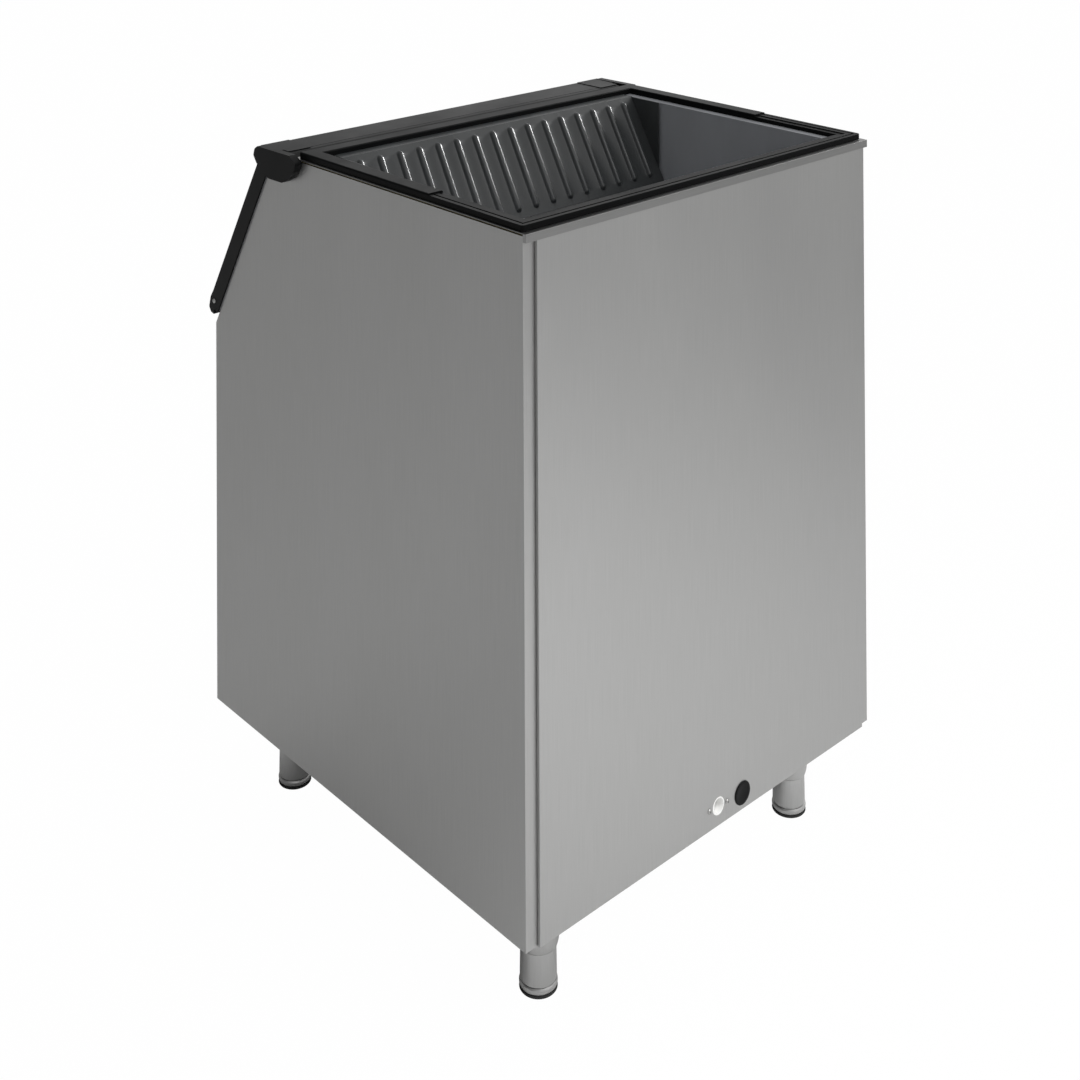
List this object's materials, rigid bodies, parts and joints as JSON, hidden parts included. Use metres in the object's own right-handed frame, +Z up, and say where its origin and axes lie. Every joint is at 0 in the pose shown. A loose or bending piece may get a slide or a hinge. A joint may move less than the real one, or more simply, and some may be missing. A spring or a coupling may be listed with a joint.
{
  "type": "ice storage bin",
  "caption": "Steel storage bin for a modular ice maker, open on top with a black rim and ribbed baffle, sloping hinged front door and adjustable legs.",
  "frame": {"origin": "middle of the footprint on the floor, under the middle of the whole depth and width", "axes": "+Z up, -Y towards the door at the front, +Y towards the plain rear panel, +X to the right of someone facing the door"},
  "size_m": [0.79, 0.8152, 1.117],
  "materials": {
    "stainless_steel": "brushed stainless steel, satin",
    "plated_steel": "zinc plated, slightly dull",
    "black_plastic": "black moulded plastic, low sheen",
    "door_plastic": "charcoal moulded plastic, fine grain",
    "liner_plastic": "dark grey moulded plastic, smooth",
    "baffle_plastic": "grey plastic sheet, satin",
    "white_plastic": "white plastic pipe",
    "foam": "cream rigid foam, matt",
    "rubber": "black rubber, matt"
  },
  "bodies": {
    "cabinet": {"side_panel_left": "stainless_steel", "side_panel_right": "stainless_steel", "rear_panel": "stainless_steel", "front_panel": "stainless_steel", "base_panel": "stainless_steel", "top_frame": "stainless_steel", "header_cover": "stainless_steel", "foam_insulation": "foam", "liner": "liner_plastic", "rim": "black_plastic", "baffle": "baffle_plastic", "door_frame": "black_plastic", "door_seal": "rubber", "hinge_plate_left": "plated_steel", "hinge_plate_right": "plated_steel", "hinge_pin_left": "plated_steel", "hinge_pin_right": "plated_steel", "leg_collar_front_left": "door_plastic", "leg_collar_front_right": "door_plastic", "leg_collar_rear_left": "door_plastic", "leg_collar_rear_right": "door_plastic", "leg_tube_front_left": "stainless_steel", "leg_tube_front_right": "stainless_steel", "leg_tube_rear_left": "stainless_steel", "leg_tube_rear_right": "stainless_steel", "leg_plate_front_left": "plated_steel", "leg_plate_front_right": "plated_steel", "leg_plate_rear_left": "plated_steel", "leg_plate_rear_right": "plated_steel", "drain_outlet": "white_plastic", "drain_fitting": "white_plastic", "drain_strainer": "white_plastic", "outlet_screw_left": "plated_steel", "outlet_screw_right": "plated_steel", "blanking_plug": "black_plastic"},
    "door": {"door_shell": "door_plastic", "door_inner_panel": "liner_plastic", "door_insulation": "foam", "end_cap_left": "door_plastic", "end_cap_right": "door_plastic", "door_screw_left": "plated_steel", "door_screw_right": "plated_steel", "hinge_bush_left": "white_plastic", "hinge_bush_right": "white_plastic"},
    "foot_front_left": {"leveling_foot_front_left": "plated_steel", "foot_pad_front_left": "rubber"},
    "foot_front_right": {"leveling_foot_front_right": "plated_steel", "foot_pad_front_right": "rubber"},
    "foot_rear_left": {"leveling_foot_rear_left": "plated_steel", "foot_pad_rear_left": "rubber"},
    "foot_rear_right": {"leveling_foot_rear_right": "plated_steel", "foot_pad_rear_right": "rubber"}
  },
  "joints": [
    {"name": "door_hinge", "type": "hinge", "parent": "cabinet", "child": "door", "pos_m": [0, -0.17399, 1.092], "axis": [-1, 0, 0], "range_deg": [0, 100]},
    {"name": "foot_front_left_slide", "type": "slide", "parent": "cabinet", "child": "foot_front_left", "axis": [0, 0, -1], "range_m": [0, 0.025]},
    {"name": "foot_front_right_slide", "type": "slide", "parent": "cabinet", "child": "foot_front_right", "axis": [0, 0, -1], "range_m": [0, 0.025]},
    {"name": "foot_rear_left_slide", "type": "slide", "parent": "cabinet", "child": "foot_rear_left", "axis": [0, 0, -1], "range_m": [0, 0.025]},
    {"name": "foot_rear_right_slide", "type": "slide", "parent": "cabinet", "child": "foot_rear_right", "axis": [0, 0, -1], "range_m": [0, 0.025]}
  ]
}
